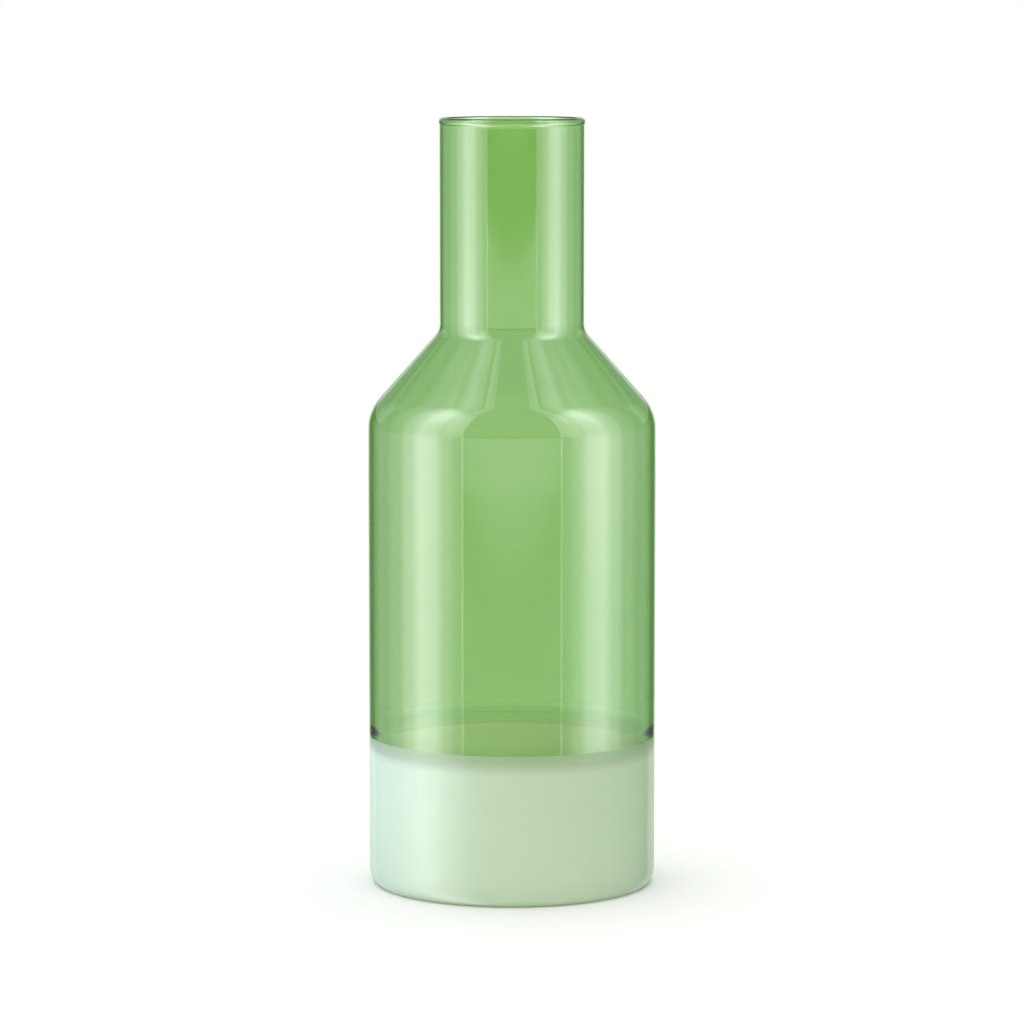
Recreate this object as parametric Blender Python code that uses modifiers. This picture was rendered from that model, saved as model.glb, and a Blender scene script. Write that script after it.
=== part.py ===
"""A two-colour blown glass carafe, in metres, +Z up, standing on z = 0 with its axis on Z.

Clear green glass makes the rim, neck, shoulder and body. Opaque mint glass makes the foot.
The two are fused along a level seam, where the green glass runs a little way down inside the
opal wall and swells inward as a bead. Each gather of glass is a piece of its own, and the
pieces stand JOINT apart, where the real glass runs through.
"""

import math

import bpy
from mathutils import Vector

MM = 0.001
STEPS = 48  # facets round the axis, a multiple of 4 so that the width is exact on X and Y
WELD = 0.00001  # merge distance of the turned shapes
JOINT = 0.3 * MM  # left between two pieces that are fused on the real carafe

# Driving dimensions
HEIGHT = 240.5 * MM
NECK_RADIUS = 22.5 * MM
BODY_RADIUS = 45.0 * MM
NECK_WALL = 1.2 * MM
BODY_WALL = 1.25 * MM
NECK_CORNER_Z = 174.4 * MM  # where the neck's side would meet the cone's, if both ran on
BODY_CORNER_Z = 149.1 * MM  # the same for the cone's side and the body's
NECK_FILLET = 5.4 * MM
BODY_ROUNDING = 15.0 * MM

# Fire-polished rim
BEAD_DEPTH = 2.8 * MM  # height of the bead below the top
BEAD_OUT = 0.27 * MM  # how far it stands proud of the neck
BEAD_THICKNESS = 1.8 * MM

# Where the neck and the shoulder, and the shoulder and the body, part
NECK_FOOT_Z = 180.0 * MM
SHOULDER_FOOT_Z = 142.0 * MM

# Seam between green and opal glass
SEAM_Z = 47.2 * MM  # on the outer face
SEAM_SLANT = 4.2 * MM  # how much lower it ends on the inner face
WELD_HALF_HEIGHT = 4.0 * MM
WELD_DEPTH = 1.2 * MM  # how far the bead swells inward
WELD_BACK = 0.35 * MM  # green glass left between the slanted seam and the bead's foot

# Opal foot
WALL_FOOT_Z = 9.0 * MM
FLOOR = 3.0 * MM
HEEL_WIDTH = 3.2 * MM
HEEL_HEIGHT = 5.2 * MM
FLOOR_FILLET = 5.0 * MM
PUNT_RADIUS = 33.0 * MM  # the underside is hollowed inside this radius, so that it doesn't rock
PUNT_RISE = 1.0 * MM

GREEN = (0.30, 0.52, 0.20)
OPAL = (0.62, 0.77, 0.66)


def clear_scene():
    for obj in list(bpy.data.objects):
        bpy.data.objects.remove(obj, do_unlink=True)


def arc(centre, radii, start_deg, end_deg, count):
    """Points on part of an ellipse in the profile plane, both ends included."""
    points = []
    for i in range(count + 1):
        turn = math.radians(start_deg + (end_deg - start_deg) * i / count)
        points.append(Vector((centre[0] + radii[0] * math.cos(turn), centre[1] + radii[1] * math.sin(turn))))
    return points


def rounded_corner(before, corner, after, radius, count):
    """Points of an arc of the given radius that touches both straight lines meeting at corner."""
    before, corner, after = Vector(before), Vector(corner), Vector(after)
    back = (before - corner).normalized()
    ahead = (after - corner).normalized()
    half = back.angle(ahead) / 2
    centre = corner + (back + ahead).normalized() * (radius / math.sin(half))
    first = corner + back * (radius / math.tan(half)) - centre
    sweep = math.pi - 2 * half
    if back.x * ahead.y - back.y * ahead.x > 0:
        sweep = -sweep
    points = []
    for i in range(count + 1):
        turn = sweep * i / count
        cos, sin = math.cos(turn), math.sin(turn)
        points.append(centre + Vector((first.x * cos - first.y * sin, first.x * sin + first.y * cos)))
    return points


def glass_material(name, colour, clear):
    """Principled glass. clear is 1 for see-through glass and 0 for opaque."""
    material = bpy.data.materials.new(name)
    material.use_nodes = True
    shader = material.node_tree.nodes["Principled BSDF"]
    shader.inputs["Base Color"].default_value = (*colour, 1.0)
    shader.inputs["Metallic"].default_value = 0.0
    shader.inputs["Roughness"].default_value = 0.03
    shader.inputs["IOR"].default_value = 1.5
    shader.inputs["Transmission Weight"].default_value = clear
    material.diffuse_color = (*colour, 1.0)
    return material


def turned(name, profile, colour, clear):
    """A solid turned about Z. The profile runs down its outer side at +X, and back up its inner side."""
    mesh = bpy.data.meshes.new(name)
    edges = [(i, i + 1) for i in range(len(profile) - 1)]
    edges.append((len(profile) - 1, 0))
    mesh.from_pydata([(r, 0.0, z) for r, z in profile], edges, [])
    mesh.materials.append(glass_material(name + "_glass", colour, clear))
    obj = bpy.data.objects.new(name, mesh)
    screw = obj.modifiers.new("turn", "SCREW")
    screw.axis = "Z"
    screw.angle = 2 * math.pi
    screw.steps = STEPS
    screw.render_steps = STEPS
    screw.use_merge_vertices = True
    screw.merge_threshold = WELD
    screw.use_smooth_shade = True
    return obj


def cone_lines():
    """The corners of the outer and inner side of the shoulder, as (neck corner, body corner) pairs."""
    rise = NECK_CORNER_Z - BODY_CORNER_Z
    run = BODY_RADIUS - NECK_RADIUS
    wall = (NECK_WALL + BODY_WALL) / 2
    drop = wall * math.hypot(rise, run) / run  # of the inner side below the outer, at one radius
    outer = ((NECK_RADIUS, NECK_CORNER_Z), (BODY_RADIUS, BODY_CORNER_Z))
    inner = (
        (NECK_RADIUS - NECK_WALL, NECK_CORNER_Z + NECK_WALL * rise / run - drop),
        (BODY_RADIUS - BODY_WALL, BODY_CORNER_Z + BODY_WALL * rise / run - drop),
    )
    return outer, inner


def shoulder_side(corners, top_z, foot_z, fillet, rounding):
    """One side of the shoulder, from the neck down to the body."""
    neck, body = corners
    top = (neck[0], top_z)
    foot = (body[0], foot_z)
    side = [Vector(top)]
    side += rounded_corner(top, neck, body, fillet, 5)
    side += rounded_corner(neck, body, foot, rounding, 6)
    side.append(Vector(foot))
    return side


def rim_bead():
    """The polished lip: a full round, flattened where it runs into the neck."""
    outer = NECK_RADIUS + BEAD_OUT
    middle = outer - BEAD_THICKNESS / 2
    radii = (BEAD_THICKNESS / 2, BEAD_DEPTH * 0.43)
    centre = (middle, HEIGHT - radii[1])
    foot_z = HEIGHT - BEAD_DEPTH
    profile = arc(centre, radii, 90, -50, 7)
    profile += [Vector((NECK_RADIUS, foot_z)), Vector((NECK_RADIUS - NECK_WALL, foot_z))]
    profile += arc(centre, radii, 230, 110, 6)
    return turned("rim_bead", profile, GREEN, 1.0)


def neck():
    top = HEIGHT - BEAD_DEPTH - JOINT
    foot = NECK_FOOT_Z + JOINT
    inside = NECK_RADIUS - NECK_WALL
    profile = [(NECK_RADIUS, top), (NECK_RADIUS, foot), (inside, foot), (inside, top)]
    return turned("neck", profile, GREEN, 1.0)


def shoulder():
    outer, inner = cone_lines()
    outside = shoulder_side(outer, NECK_FOOT_Z, SHOULDER_FOOT_Z, NECK_FILLET, BODY_ROUNDING)
    inside = shoulder_side(
        inner, NECK_FOOT_Z, SHOULDER_FOOT_Z, NECK_FILLET + NECK_WALL, BODY_ROUNDING - BODY_WALL
    )
    return turned("shoulder", outside + inside[::-1], GREEN, 1.0)


def body_wall():
    top = SHOULDER_FOOT_Z - JOINT
    foot = SEAM_Z + WELD_HALF_HEIGHT + JOINT
    inside = BODY_RADIUS - BODY_WALL
    profile = [(BODY_RADIUS, top), (BODY_RADIUS, foot), (inside, foot), (inside, top)]
    return turned("body_wall", profile, GREEN, 1.0)


def seam_ring():
    """The green weld: it sits on the opal wall's slanted edge and swells inward as a low bead."""
    top = SEAM_Z + WELD_HALF_HEIGHT
    foot = SEAM_Z - SEAM_SLANT
    inside = BODY_RADIUS - BODY_WALL
    profile = [
        Vector((BODY_RADIUS, top)),
        Vector((BODY_RADIUS, SEAM_Z + JOINT)),
        Vector((inside - JOINT, foot + JOINT)),
        Vector((inside - JOINT - WELD_BACK, foot + JOINT)),
    ]
    swell = 8
    for i in range(1, swell):
        share = i / swell
        z = foot + JOINT + (top - foot - JOINT) * share
        start = (WELD_BACK + JOINT) * (1 - share)
        profile.append(Vector((inside - start - WELD_DEPTH * math.sin(math.pi * share) ** 1.5, z)))
    profile.append(Vector((inside, top)))
    return turned("seam_ring", profile, GREEN, 1.0)


def opal_wall():
    """The straight opal wall, with its top edge slanted down towards the inside."""
    inside = BODY_RADIUS - BODY_WALL
    foot = WALL_FOOT_Z + JOINT
    profile = [
        (BODY_RADIUS, SEAM_Z),
        (BODY_RADIUS, foot),
        (inside, foot),
        (inside, SEAM_Z - SEAM_SLANT),
    ]
    return turned("opal_wall", profile, OPAL, 0.0)


def opal_base():
    """The floor, its rounded heel and the short wall above it, with a shallow punt underneath."""
    inside = BODY_RADIUS - BODY_WALL
    outside = [Vector((BODY_RADIUS, WALL_FOOT_Z))]
    outside += arc((BODY_RADIUS - HEEL_WIDTH, HEEL_HEIGHT), (HEEL_WIDTH, HEEL_HEIGHT), 0, -90, 6)
    punt = [Vector((PUNT_RADIUS, 0.0))]
    punt += [Vector((PUNT_RADIUS * (1 - i / 4), PUNT_RISE * math.sin(math.pi / 2 * i / 4))) for i in range(1, 5)]
    floor = [Vector((0.0, FLOOR))]
    floor += rounded_corner((0.0, FLOOR), (inside, FLOOR), (inside, WALL_FOOT_Z), FLOOR_FILLET, 5)
    floor.append(Vector((inside, WALL_FOOT_Z)))
    return turned("opal_base", outside + punt + floor, OPAL, 0.0)


def build():
    clear_scene()
    collection = bpy.data.collections.new("glass_carafe")
    bpy.context.scene.collection.children.link(collection)
    frame = bpy.data.objects.new("carafe_frame", None)
    collection.objects.link(frame)
    for make in (rim_bead, neck, shoulder, body_wall, seam_ring, opal_wall, opal_base):
        piece = make()
        piece.parent = frame
        collection.objects.link(piece)


build()
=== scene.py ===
import math

import bmesh
import bpy
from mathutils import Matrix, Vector


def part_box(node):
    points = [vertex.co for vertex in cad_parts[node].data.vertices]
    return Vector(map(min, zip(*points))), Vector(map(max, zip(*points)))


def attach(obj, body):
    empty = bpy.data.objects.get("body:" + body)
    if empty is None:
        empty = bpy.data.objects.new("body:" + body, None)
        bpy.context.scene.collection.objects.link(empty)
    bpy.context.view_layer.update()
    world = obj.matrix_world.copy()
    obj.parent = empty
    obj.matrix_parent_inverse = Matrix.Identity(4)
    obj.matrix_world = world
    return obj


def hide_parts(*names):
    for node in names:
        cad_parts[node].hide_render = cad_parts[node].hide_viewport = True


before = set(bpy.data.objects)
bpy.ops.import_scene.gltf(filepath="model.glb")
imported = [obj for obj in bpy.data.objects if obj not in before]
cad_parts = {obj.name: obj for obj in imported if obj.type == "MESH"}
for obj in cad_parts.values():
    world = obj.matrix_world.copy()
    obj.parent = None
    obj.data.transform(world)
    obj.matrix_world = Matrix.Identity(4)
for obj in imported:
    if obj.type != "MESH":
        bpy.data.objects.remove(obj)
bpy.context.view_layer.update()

MM = 0.001
SEGMENTS = 288  # round the axis
REFINED_ABOVE = 1.5 * MM  # shorter stretches of a profile keep their ends only
RING_STEP = 3.0 * MM  # between rings on straight sides
RING_INSET = 0.12 * MM  # from a bend to the first ring beside it, which keeps a straight side straight
ARC_STEP = math.radians(3)  # turn between two points on a rounded corner

# Sizes read from the frame
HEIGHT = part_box("rim_bead")[1].z
RIM_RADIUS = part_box("rim_bead")[1].x
RIM_FOOT_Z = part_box("rim_bead")[0].z
NECK_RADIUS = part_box("neck")[1].x
BODY_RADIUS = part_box("body_wall")[1].x
SEAM_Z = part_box("opal_wall")[1].z
WELD_FOOT_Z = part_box("seam_ring")[0].z
WELD_TOP_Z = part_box("seam_ring")[1].z

# Sizes that part.py also holds
NECK_WALL = 1.2 * MM
BODY_WALL = 1.25 * MM
NECK_CORNER_Z = 174.4 * MM
BODY_CORNER_Z = 149.1 * MM
NECK_FILLET = 5.4 * MM
BODY_ROUNDING = 15.0 * MM
BEAD_THICKNESS = 1.8 * MM
FLOOR = 3.0 * MM
FLOOR_FILLET = 5.0 * MM
HEEL_WIDTH = 3.2 * MM
HEEL_HEIGHT = 5.2 * MM
PUNT_RADIUS = 33.0 * MM
PUNT_RISE = 1.0 * MM

# Sizes of the visual model only
WELD_DEPTH = 0.3 * MM  # how far the weld swells inward; the CAD has 1.2 mm
TAPER_Z = 128.0 * MM  # the body is straight below this height
ROUNDING_CUT = 2  # points left out at the foot of the body's rounding, where the taper takes over
SHARP = math.radians(35)  # edges sharper than this aren't smoothed
SKIN = 0.04 * MM  # opal glass that feathers out over the green glass above the weld's foot
GAP = 0.02 * MM  # between that skin and the green glass
CONTACT = 0.02 * MM  # how far fused glasses run into each other, so that no air shows between

IOR_GLASS = 1.5
BLOWN_DEPTH = 0.004 * MM  # how deep the wander of the blown surface is
FEATHER = 7.0 * MM  # height over which the opal glass thins out towards the seam
FEATHER_CLEAR = 0.5  # how see-through it is at the seam
OPAL_THROUGH = 0.45  # weight of the light from behind, against the surface's own colour

# How much of white light one body wall lets through, straight across
WALL_TINT = (0.444, 0.675, 0.290)


# ---------------------------------------------------------------- profiles

def corner(before, at, after, radius):
    """Points of an arc that rounds the corner at `at` between two straight lines."""
    before, at, after = Vector(before), Vector(at), Vector(after)
    back = (before - at).normalized()
    ahead = (after - at).normalized()
    half = back.angle(ahead) / 2
    centre = at + (back + ahead).normalized() * (radius / math.sin(half))
    first = at + back * (radius / math.tan(half)) - centre
    sweep = math.pi - 2 * half
    if back.x * ahead.y - back.y * ahead.x > 0:
        sweep = -sweep
    count = max(3, round(abs(sweep) / ARC_STEP))
    points = []
    for i in range(count + 1):
        cos, sin = math.cos(sweep * i / count), math.sin(sweep * i / count)
        points.append(centre + Vector((first.x * cos - first.y * sin, first.x * sin + first.y * cos)))
    return points


def ellipse(centre, radii, start_deg, end_deg):
    """Points on part of an ellipse, both ends included."""
    count = max(3, round(abs(math.radians(end_deg - start_deg)) / ARC_STEP))
    points = []
    for i in range(count + 1):
        turn = math.radians(start_deg + (end_deg - start_deg) * i / count)
        reach = Vector((radii[0] * math.cos(turn), radii[1] * math.sin(turn)))
        points.append(Vector(centre) + reach)
    return points


def side(neck, body, top_z, foot_z, fillet, rounding):
    """One side of the neck, shoulder and body, from the top down. The body narrows a hair near its top."""
    top, foot = (neck[0], top_z), (body[0], foot_z)
    filleted = corner(top, neck, body, fillet)
    rounded = corner(neck, body, foot, rounding)[:-ROUNDING_CUT]
    return [Vector(top), *filleted, *rounded, Vector((body[0], TAPER_Z)), Vector(foot)]


def green_profile():
    """The green vessel's cross-section: down its outside, round the weld and up its inside."""
    rise, run = NECK_CORNER_Z - BODY_CORNER_Z, BODY_RADIUS - NECK_RADIUS
    drop = (NECK_WALL + BODY_WALL) / 2 * math.hypot(rise, run) / run
    inside = BODY_RADIUS - BODY_WALL
    inner_neck = (NECK_RADIUS - NECK_WALL, NECK_CORNER_Z + NECK_WALL * rise / run - drop)
    inner_body = (inside, BODY_CORNER_Z + BODY_WALL * rise / run - drop)

    bead_half = BEAD_THICKNESS / 2
    bead = (RIM_RADIUS - bead_half, HEIGHT - bead_half * 1.35)
    radii = (bead_half, bead_half * 1.35)
    outer = ellipse(bead, radii, 90, -52)
    outer.append(Vector((NECK_RADIUS + 0.03 * MM, RIM_FOOT_Z + 0.25 * MM)))
    outer_neck, outer_body = (NECK_RADIUS, NECK_CORNER_Z), (BODY_RADIUS, BODY_CORNER_Z)
    outer += side(outer_neck, outer_body, RIM_FOOT_Z, SEAM_Z, NECK_FILLET, BODY_ROUNDING)
    under_skin = BODY_RADIUS - SKIN - GAP
    foot = [
        Vector((under_skin, SEAM_Z - GAP)),
        Vector((under_skin, WELD_FOOT_Z - CONTACT)),
        Vector((inside + CONTACT, WELD_FOOT_Z - CONTACT)),
    ]
    swell = 40
    for i in range(1, swell):
        share = i / swell
        z = WELD_FOOT_Z + (WELD_TOP_Z - WELD_FOOT_Z) * share
        foot.append(Vector((inside - WELD_DEPTH * math.sin(math.pi * share) ** 1.5, z)))
    inner = side(
        inner_neck, inner_body, RIM_FOOT_Z, WELD_TOP_Z, NECK_FILLET + NECK_WALL, BODY_ROUNDING - BODY_WALL
    )
    lip = ellipse(bead, radii, 232, 93)
    return outer + foot + inner[::-1] + lip


def opal_profile():
    """The opal foot's cross-section, from the middle of the underside round to the floor's middle."""
    inside = BODY_RADIUS - BODY_WALL
    punt = []
    rings = 20
    for i in range(1, rings + 1):
        share = i / rings
        punt.append(Vector((PUNT_RADIUS * share, PUNT_RISE * math.cos(math.pi / 2 * share) ** 1.5)))
    heel = ellipse((BODY_RADIUS - HEEL_WIDTH, HEEL_HEIGHT), (HEEL_WIDTH, HEEL_HEIGHT), -90, 0)
    skin = [
        Vector((BODY_RADIUS, WELD_FOOT_Z)),
        Vector((BODY_RADIUS, SEAM_Z)),
        Vector((BODY_RADIUS - SKIN, SEAM_Z)),
        Vector((BODY_RADIUS - SKIN, WELD_FOOT_Z)),
    ]
    top = [Vector((inside, WELD_FOOT_Z))]
    floor = corner((inside, WELD_FOOT_Z), (inside, FLOOR), (0.0, FLOOR), FLOOR_FILLET)
    return [Vector((0.0, PUNT_RISE)), *punt, *heel, *skin, *top, *floor, Vector((0.0, FLOOR))]


def refined(profile, closed):
    """The same profile with more points on its straight stretches."""
    ends = profile[1:] + profile[:1] if closed else profile[1:]
    points = []
    for start, end in zip(profile, ends):
        points.append(start)
        length = (end - start).length
        if length < REFINED_ABOVE:
            continue
        count = max(1, round((length - 2 * RING_INSET) / RING_STEP))
        for i in range(count + 1):
            along = RING_INSET + (length - 2 * RING_INSET) * i / count
            points.append(start.lerp(end, along / length))
    if not closed:
        points.append(profile[-1])
    return points


def turned(name, profile, on_axis):
    """A mesh turned about Z from (radius, height) points. on_axis: both ends lie on the axis."""
    mesh = bpy.data.meshes.new(name)
    bm = bmesh.new()
    rings = []
    for radius, z in refined(profile, closed=not on_axis):
        if radius < 1e-9:
            rings.append([bm.verts.new((0.0, 0.0, z))])
            continue
        ring = []
        for k in range(SEGMENTS):
            turn = 2 * math.pi * k / SEGMENTS
            ring.append(bm.verts.new((radius * math.cos(turn), radius * math.sin(turn), z)))
        rings.append(ring)
    pairs = list(zip(rings, rings[1:]))
    if not on_axis:
        pairs.append((rings[-1], rings[0]))
    for low, high in pairs:
        for k in range(SEGMENTS):
            after = (k + 1) % SEGMENTS
            if len(low) == 1:
                bm.faces.new((low[0], high[after], high[k]))
            elif len(high) == 1:
                bm.faces.new((low[k], low[after], high[0]))
            else:
                bm.faces.new((low[k], low[after], high[after], high[k]))
    bmesh.ops.recalc_face_normals(bm, faces=bm.faces)
    bm.to_mesh(mesh)
    bm.free()
    mesh.shade_smooth()
    mesh.set_sharp_from_angle(angle=SHARP)
    obj = bpy.data.objects.new(name, mesh)
    bpy.context.scene.collection.objects.link(obj)
    return obj


# ---------------------------------------------------------------- materials

def new_material(name):
    """A material with its nodes and links."""
    material = bpy.data.materials.new(name)
    material.use_nodes = True
    return material, material.node_tree.nodes, material.node_tree.links


def wander(nodes, links, scale, stretch, detail):
    """Noise that varies slowly over a turned piece. stretch pulls it out along the axis."""
    place = nodes.new("ShaderNodeTexCoord")
    mapping = nodes.new("ShaderNodeMapping")
    mapping.inputs["Scale"].default_value = (1.0, 1.0, 1.0 / stretch)
    noise = nodes.new("ShaderNodeTexNoise")
    noise.inputs["Scale"].default_value = scale
    noise.inputs["Detail"].default_value = detail
    links.new(place.outputs["Object"], mapping.inputs[0])
    links.new(mapping.outputs[0], noise.inputs["Vector"])
    return noise.outputs["Fac"]


def ranged(nodes, links, source, low, high, start=0.3, end=0.7, ease="LINEAR"):
    """Runs from low to high while source runs from start to end, and stays there past the ends."""
    spread = nodes.new("ShaderNodeMapRange")
    spread.interpolation_type = ease
    spread.inputs["From Min"].default_value = start
    spread.inputs["From Max"].default_value = end
    spread.inputs["To Min"].default_value = low
    spread.inputs["To Max"].default_value = high
    links.new(source, spread.inputs["Value"])
    return spread.outputs["Result"]


def feed(links, source, socket):
    """Sets a socket from another socket or from a plain number."""
    if isinstance(source, bpy.types.NodeSocket):
        links.new(source, socket)
    else:
        socket.default_value = source


def calculated(nodes, links, operation, *sources):
    """The result of a Math node."""
    node = nodes.new("ShaderNodeMath")
    node.operation = operation
    for source, socket in zip(sources, node.inputs):
        feed(links, source, socket)
    return node.outputs[0]


def mixed(nodes, links, factor, first, second):
    """A shader that runs from first to second as factor runs from 0 to 1."""
    mix = nodes.new("ShaderNodeMixShader")
    feed(links, factor, mix.inputs[0])
    links.new(first, mix.inputs[1])
    links.new(second, mix.inputs[2])
    return mix.outputs[0]


def bumped(nodes, links, shader, source, depth):
    """Raises the shader's surface by up to depth where source is 1."""
    bump = nodes.new("ShaderNodeBump")
    bump.inputs["Strength"].default_value = 1.0
    bump.inputs["Distance"].default_value = depth
    links.new(source, bump.inputs["Height"])
    links.new(bump.outputs[0], shader.inputs["Normal"])


def between(nodes, links, source, first, second):
    """A colour that runs from first to second as source runs from 0 to 1."""
    mix = nodes.new("ShaderNodeMix")
    mix.data_type = "RGBA"
    mix.inputs["A"].default_value = (*first, 1.0)
    mix.inputs["B"].default_value = (*second, 1.0)
    links.new(source, mix.inputs["Factor"])
    return mix.outputs["Result"]


def green_glass():
    """Clear green glass: the tint is in its depth, and the surface has the faint wander of blown glass."""
    material, nodes, links = new_material("green_glass")
    shader = nodes["Principled BSDF"]
    shader.inputs["IOR"].default_value = IOR_GLASS
    shader.inputs["Transmission Weight"].default_value = 1.0
    drawn = wander(nodes, links, 60.0, 5.0, 2.0)
    cords = ranged(nodes, links, drawn, 0.0, 1.0)
    tint = between(nodes, links, cords, (1.0, 1.0, 1.0), (0.975, 0.99, 0.96))
    links.new(tint, shader.inputs["Base Color"])
    handled = wander(nodes, links, 180.0, 1.0, 4.0)
    links.new(ranged(nodes, links, handled, 0.0, 0.012), shader.inputs["Roughness"])
    bumped(nodes, links, shader, wander(nodes, links, 45.0, 3.0, 1.0), BLOWN_DEPTH)
    per_metre = [-math.log(share) / BODY_WALL for share in WALL_TINT]
    density = max(per_metre) * 1.05
    absorption = nodes.new("ShaderNodeVolumeAbsorption")
    absorption.inputs["Color"].default_value = (*[1 - value / density for value in per_metre], 1.0)
    absorption.inputs["Density"].default_value = density
    links.new(absorption.outputs[0], nodes["Material Output"].inputs["Volume"])
    return material


def opal_clearness(nodes, links):
    """How see-through the opal glass is: up to FEATHER_CLEAR at the seam, and 1 on the skin's inner face."""
    place = nodes.new("ShaderNodeTexCoord")
    split = nodes.new("ShaderNodeSeparateXYZ")
    across = nodes.new("ShaderNodeVectorMath")
    across.operation = "MULTIPLY"
    across.inputs[1].default_value = (1.0, 1.0, 0.0)
    radius = nodes.new("ShaderNodeVectorMath")
    radius.operation = "LENGTH"
    links.new(place.outputs["Object"], split.inputs[0])
    links.new(place.outputs["Object"], across.inputs[0])
    links.new(across.outputs["Vector"], radius.inputs[0])
    height = split.outputs["Z"]
    feather = ranged(nodes, links, height, 0.0, FEATHER_CLEAR, SEAM_Z - FEATHER, SEAM_Z, "SMOOTHSTEP")
    at_radius = calculated(nodes, links, "COMPARE", radius.outputs["Value"], BODY_RADIUS - SKIN, SKIN * 0.4)
    above_weld = calculated(nodes, links, "GREATER_THAN", height, WELD_FOOT_Z - MM)
    skin_inside = calculated(nodes, links, "MULTIPLY", at_radius, above_weld)
    return calculated(nodes, links, "MAXIMUM", feather, skin_inside)


def opal_glass():
    """Milky mint glass that glows where light is behind it, and feathers out towards the seam."""
    material, nodes, links = new_material("opal_glass")
    shader = nodes["Principled BSDF"]
    shader.inputs["IOR"].default_value = IOR_GLASS
    cloud = ranged(nodes, links, wander(nodes, links, 70.0, 1.6, 3.0), 0.0, 1.0)
    milk = between(nodes, links, cloud, (0.650, 0.790, 0.700), (0.672, 0.812, 0.722))
    links.new(milk, shader.inputs["Base Color"])
    handled = wander(nodes, links, 220.0, 1.0, 4.0)
    links.new(ranged(nodes, links, handled, 0.045, 0.085), shader.inputs["Roughness"])
    bumped(nodes, links, shader, wander(nodes, links, 55.0, 2.0, 1.0), BLOWN_DEPTH)
    through = nodes.new("ShaderNodeBsdfTranslucent")
    through.inputs["Color"].default_value = (0.80, 0.88, 0.62, 1.0)
    clear = nodes.new("ShaderNodeBsdfTransparent")
    solid = mixed(nodes, links, OPAL_THROUGH, shader.outputs[0], through.outputs[0])
    glass = mixed(nodes, links, opal_clearness(nodes, links), solid, clear.outputs[0])
    links.new(glass, nodes["Material Output"].inputs["Surface"])
    return material


def floor_paper():
    """Pale paper that melts into the background away from the carafe."""
    material, nodes, links = new_material("floor_paper")
    shader = nodes["Principled BSDF"]
    shader.inputs["Base Color"].default_value = (0.86, 0.86, 0.85, 1.0)
    shader.inputs["Roughness"].default_value = 0.7
    clear = nodes.new("ShaderNodeBsdfTransparent")
    place = nodes.new("ShaderNodeTexCoord")
    away = nodes.new("ShaderNodeVectorMath")
    away.operation = "LENGTH"
    links.new(place.outputs["Object"], away.inputs[0])
    melt = ranged(nodes, links, away.outputs["Value"], 0.0, 1.0, 0.06, 0.45, "SMOOTHERSTEP")
    paper = mixed(nodes, links, melt, shader.outputs[0], clear.outputs[0])
    links.new(paper, nodes["Material Output"].inputs["Surface"])
    return material


# ---------------------------------------------------------------- the carafe

green = turned("green_vessel", green_profile(), on_axis=False)
green.data.materials.append(green_glass())
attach(green, "root")
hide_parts("rim_bead", "neck", "shoulder", "body_wall", "seam_ring")

opal = turned("opal_foot", opal_profile(), on_axis=True)
opal.data.materials.append(opal_glass())
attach(opal, "root")
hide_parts("opal_wall", "opal_base")


# ---------------------------------------------------------------- studio

TARGET = Vector((0.0, 0.0, 0.11725))
CAMERA_PITCH = math.radians(6.7)
CAMERA_DISTANCE = 1.339

WHITE = (1.0, 1.0, 1.0)
HAZE = (0.95, 1.0, 1.0)


def add_camera():
    """A long lens, level across and tipped down a little, as in the photograph."""
    data = bpy.data.cameras.new("camera")
    data.lens = 150
    data.sensor_width = 36
    camera = bpy.data.objects.new("camera", data)
    bpy.context.scene.collection.objects.link(camera)
    reach = Vector((0.0, -math.cos(CAMERA_PITCH), math.sin(CAMERA_PITCH))) * CAMERA_DISTANCE
    camera.location = TARGET + reach
    camera.rotation_euler = (math.pi / 2 - CAMERA_PITCH, 0.0, 0.0)
    bpy.context.scene.camera = camera


def linked(name, *objects):
    """A collection of the pieces that one light shines on, or that cast its shadows."""
    group = bpy.data.collections.new(name)
    for obj in objects:
        group.objects.link(obj)
    return group


def soft_light(name, azimuth_deg, distance, size, height, radiance, colour, seen_by, onto=None):
    """A soft light facing the axis. Azimuth 0 is where the camera stands, and 90 is to its right."""
    data = bpy.data.lights.new(name, "AREA")
    data.shape = "RECTANGLE"
    data.size, data.size_y = size
    data.color = colour
    data.energy = radiance * math.pi * size[0] * size[1]
    light = bpy.data.objects.new(name, data)
    bpy.context.scene.collection.objects.link(light)
    turn = math.radians(azimuth_deg)
    light.location = (distance * math.sin(turn), -distance * math.cos(turn), height)
    facing = Vector((0.0, 0.0, 0.1)) - light.location
    light.rotation_euler = facing.to_track_quat("-Z", "Y").to_euler()
    light.visible_camera = False
    light.visible_diffuse = "diffuse" in seen_by
    light.visible_glossy = "glossy" in seen_by
    light.visible_transmission = "transmission" in seen_by
    if onto is not None:
        light.light_linking.receiver_collection = onto
    return light


def fade(light, along_x, along_y):
    """Makes the light's brightness change along its width and its height. Each list: (place 0-1, share)."""
    data = light.data
    data.use_nodes = True
    nodes, links = data.node_tree.nodes, data.node_tree.links
    place = nodes.new("ShaderNodeNewGeometry")
    split = nodes.new("ShaderNodeSeparateXYZ")
    links.new(place.outputs["Parametric"], split.inputs[0])
    shares = []
    for axis, stops in enumerate((along_x, along_y)):
        ramp = nodes.new("ShaderNodeValToRGB")
        ramp.color_ramp.interpolation = "EASE"
        elements = ramp.color_ramp.elements
        while len(elements) > 1:
            elements.remove(elements[-1])
        for i, (at, share) in enumerate(sorted(stops)):
            element = elements[0] if i == 0 else elements.new(at)
            element.position = at
            element.color = (share, share, share, 1.0)
        links.new(split.outputs[axis], ramp.inputs[0])
        shares.append(ramp.outputs["Color"])
    links.new(calculated(nodes, links, "MULTIPLY", *shares), nodes["Emission"].inputs["Strength"])


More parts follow.
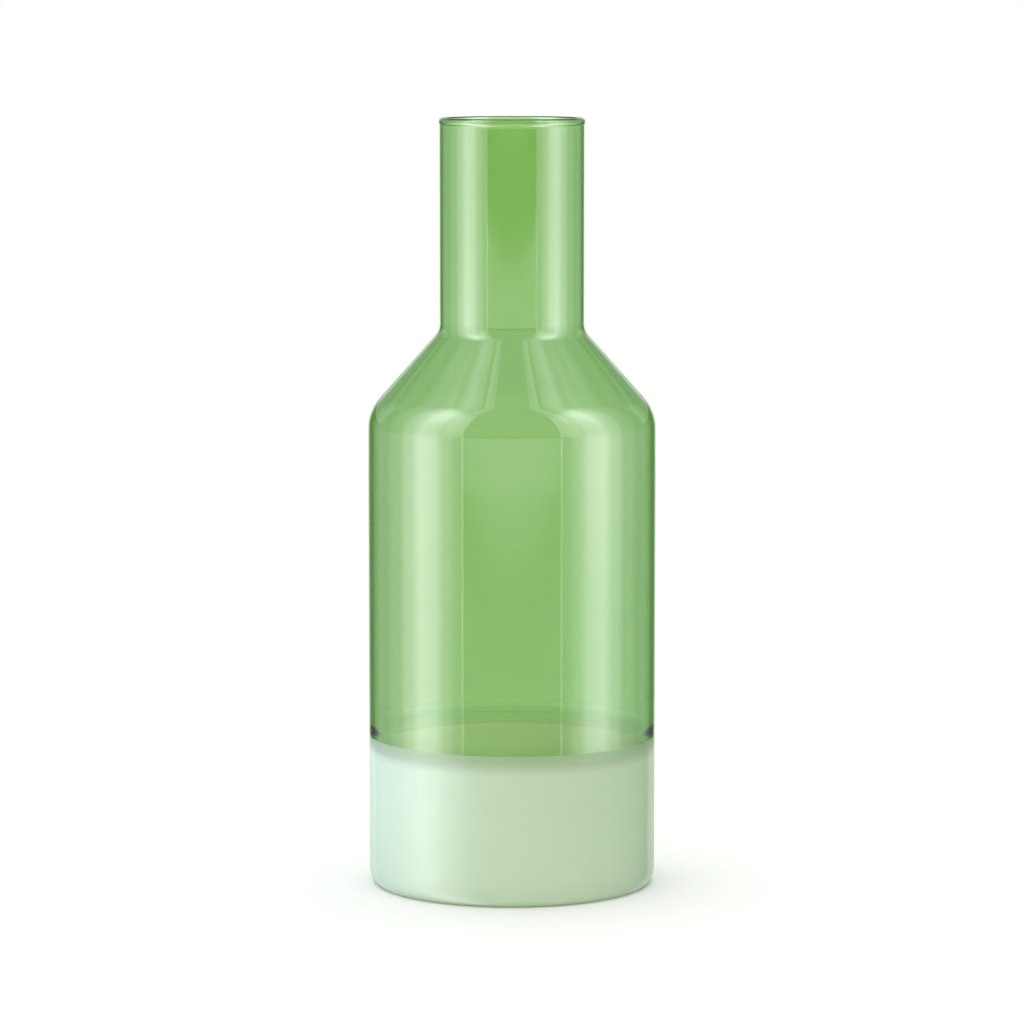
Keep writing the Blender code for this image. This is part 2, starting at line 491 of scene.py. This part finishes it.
def backdrop(nodes, links, colour, strength):
    """One of the world's backgrounds."""
    node = nodes.new("ShaderNodeBackground")
    node.inputs["Color"].default_value = (*colour, 1.0)
    feed(links, strength, node.inputs["Strength"])
    return node.outputs[0]


def add_world():
    """White to the camera and through glass, a dim greenish mirror image, and to the rest a grey room."""
    world = bpy.data.worlds.new("studio")
    bpy.context.scene.world = world
    world.use_nodes = True
    nodes, links = world.node_tree.nodes, world.node_tree.links
    nodes.remove(nodes["Background"])
    place = nodes.new("ShaderNodeTexCoord")
    split = nodes.new("ShaderNodeSeparateXYZ")
    links.new(place.outputs["Generated"], split.inputs[0])
    lit_back = ranged(nodes, links, split.outputs["Y"], 0.53, 1.0, 0.55, 0.88, "SMOOTHSTEP")
    room = backdrop(nodes, links, WHITE, lit_back)
    mirror = backdrop(nodes, links, (0.67, 1.0, 0.57), 0.28)
    white = backdrop(nodes, links, WHITE, 1.0)
    ray = nodes.new("ShaderNodeLightPath").outputs
    gloss = calculated(nodes, links, "MULTIPLY", ray["Is Reflection Ray"], ray["Is Glossy Ray"])
    seen = mixed(nodes, links, gloss, room, mirror)
    seen = mixed(nodes, links, ray["Is Transmission Ray"], seen, white)
    seen = mixed(nodes, links, ray["Is Camera Ray"], seen, white)
    links.new(seen, nodes["World Output"].inputs["Surface"])


def add_floor():
    """A disc of paper under the carafe."""
    mesh = bpy.data.meshes.new("floor")
    bm = bmesh.new()
    bmesh.ops.create_circle(bm, cap_ends=True, radius=0.8, segments=96)
    bm.to_mesh(mesh)
    bm.free()
    mesh.materials.append(floor_paper())
    floor = bpy.data.objects.new("floor", mesh)
    bpy.context.scene.collection.objects.link(floor)
    floor.visible_glossy = False
    return floor


PANEL_AZIMUTH = 85.0
PANEL_DISTANCE = 2.2
PANEL_SIZE = (8.0, 28.0)
PANEL_PEAK = 14.5
PANEL_LEAN = 0.5  # degrees that the panels' near edges lean apart towards the top
PANEL_EDGE = 0.004  # softness of their near edges, as a share of the width
PANEL_LOW = -0.36  # height of their lowest brightness, which differs from one to the next
# How bright the side panels are, by how far round from the camera: (degrees, share of the peak)
PANEL_FADE = (
    (39, 0.27), (44, 0.31), (54, 0.53), (65, 0.92), (76, 1.0),
    (90, 0.58), (103, 0.28), (122, 0.13), (145, 0.03),
)
# The same by height: (metres, share)
PANEL_RISE = ((-0.15, 0.77), (0.0, 0.62), (0.7, 0.65), (2.3, 0.85), (3.0, 0.80), (4.3, 0.38), (7.8, 0.28))

FRONT_DISTANCE = 3.0
FRONT_WIDTH = 5.1
FRONT_WIDTH_HIGH = 9.0
FRONT_LOW, FRONT_HIGH = -0.65, 0.35  # heights of the lower card's edges
FRONT_PEAK = 3.4
FRONT_HIGH_GLOW = 2.3  # how bright the tall card above it is
FRONT_TOP = 25.0
# How bright the lower card in front is, by height: (metres, share)
FRONT_RISE = (
    (-0.45, 0.62), (-0.33, 0.50), (-0.15, 1.0), (-0.02, 0.72), (0.06, 0.10), (0.12, 0.06), (0.18, 0.3),
)


def side_panel(name, side, radiance, low_share, onto):
    """A tall panel at one side, with a clear edge towards the camera and a soft fade behind the carafe."""
    colour = (0.96, 0.93, 1.0)
    azimuth = side * PANEL_AZIMUTH
    panel = soft_light(name, azimuth, PANEL_DISTANCE, PANEL_SIZE, 0.1, radiance, colour, {"glossy"}, onto)
    panel.rotation_euler.rotate_axis("Z", math.radians(-side * PANEL_LEAN))
    across = []
    for degrees, share in PANEL_FADE:
        turn = math.radians(degrees - PANEL_AZIMUTH)
        across.append((0.5 + side * math.tan(turn) * PANEL_DISTANCE / PANEL_SIZE[0], share))
    near_edge = across[0][0]
    across.append((near_edge - side * PANEL_EDGE, 0.0))
    up = [(0.5 + rise / PANEL_SIZE[1], share) for rise, share in ((PANEL_LOW, low_share), *PANEL_RISE)]
    fade(panel, across, up)
    return panel


def front_cards(onto):
    """Two cards behind the camera: a low one for the neck and body, and a tall one for the shoulder."""
    colour = (1.0, 0.95, 1.0)
    middle, tall = (FRONT_LOW + FRONT_HIGH) / 2, FRONT_HIGH - FRONT_LOW
    size = (FRONT_WIDTH, tall)
    low = soft_light("card_low", 0, FRONT_DISTANCE, size, middle, FRONT_PEAK, colour, {"glossy"}, onto)
    low.rotation_euler = (math.pi / 2, 0.0, 0.0)
    fade(low, [(0.0, 1.0), (1.0, 1.0)], [((rise - FRONT_LOW) / tall, share) for rise, share in FRONT_RISE])
    middle, tall = (FRONT_HIGH + FRONT_TOP) / 2, FRONT_TOP - FRONT_HIGH
    size = (FRONT_WIDTH_HIGH, tall)
    high = soft_light("card_high", 0, FRONT_DISTANCE, size, middle, FRONT_HIGH_GLOW, colour, {"glossy"}, onto)
    high.rotation_euler = (math.pi / 2, 0.0, 0.0)


add_camera()
add_world()
floor = add_floor()
only_green = linked("lit_green", green)
only_opal = linked("lit_opal", opal)
only_floor = linked("lit_floor", floor)
shade_opal = linked("opal_shadows", opal)

side_panel("panel_left", -1, PANEL_PEAK, 0.70, only_green)
side_panel("panel_right", 1, 0.96 * PANEL_PEAK, 0.64, only_green)
side_panel("panel_foot", -1, 8.8, 0.70, only_opal)
front_cards(only_green)

# Cards behind the carafe, which its edges mirror. The numbers are azimuth, distance, size, height and
# radiance, here and below.
for hand in (-1, 1):
    soft_light("edge_card", hand * 158, 2.0, (1.2, 3.0), 0.1, 0.8, WHITE, {"glossy"}, only_opal)
    soft_light("haze_card", hand * 150, 2.2, (1.7, 0.9), 0.8, 0.42, HAZE, {"glossy"}, only_green)
soft_light("backdrop_card", 180, 2.0, (1.3, 2.4), 0.1, 0.5, WHITE, {"glossy"}, only_green)

# Lamps for the floor and the opal glass
soft_light("overhead", 0, 0.001, (3.0, 3.0), 2.5, 2.6, WHITE, {"diffuse"}, only_floor)
soft_light("key_left", -95, 2.4, (1.4, 1.8), 0.2, 10.8, (0.68, 0.68, 1.0), {"diffuse"}, only_opal)
inside = soft_light("inner_glow", 0, 1.2, (0.8, 0.8), 0.9, 4.2, (1.0, 0.78, 0.52), {"diffuse"}, only_opal)
inside.light_linking.blocker_collection = shade_opal
under = soft_light("under_glow", 0, 1.2, (1.2, 1.0), -0.6, 1.2, (0.95, 0.97, 0.75), {"diffuse"}, only_opal)
under.light_linking.blocker_collection = shade_opal
soft_light("back_glow", 180, 1.6, (1.6, 1.0), 0.5, 6.0, (1.0, 0.97, 0.72), {"diffuse"}, only_opal)
bpy.context.scene.view_settings.view_transform = "Standard"
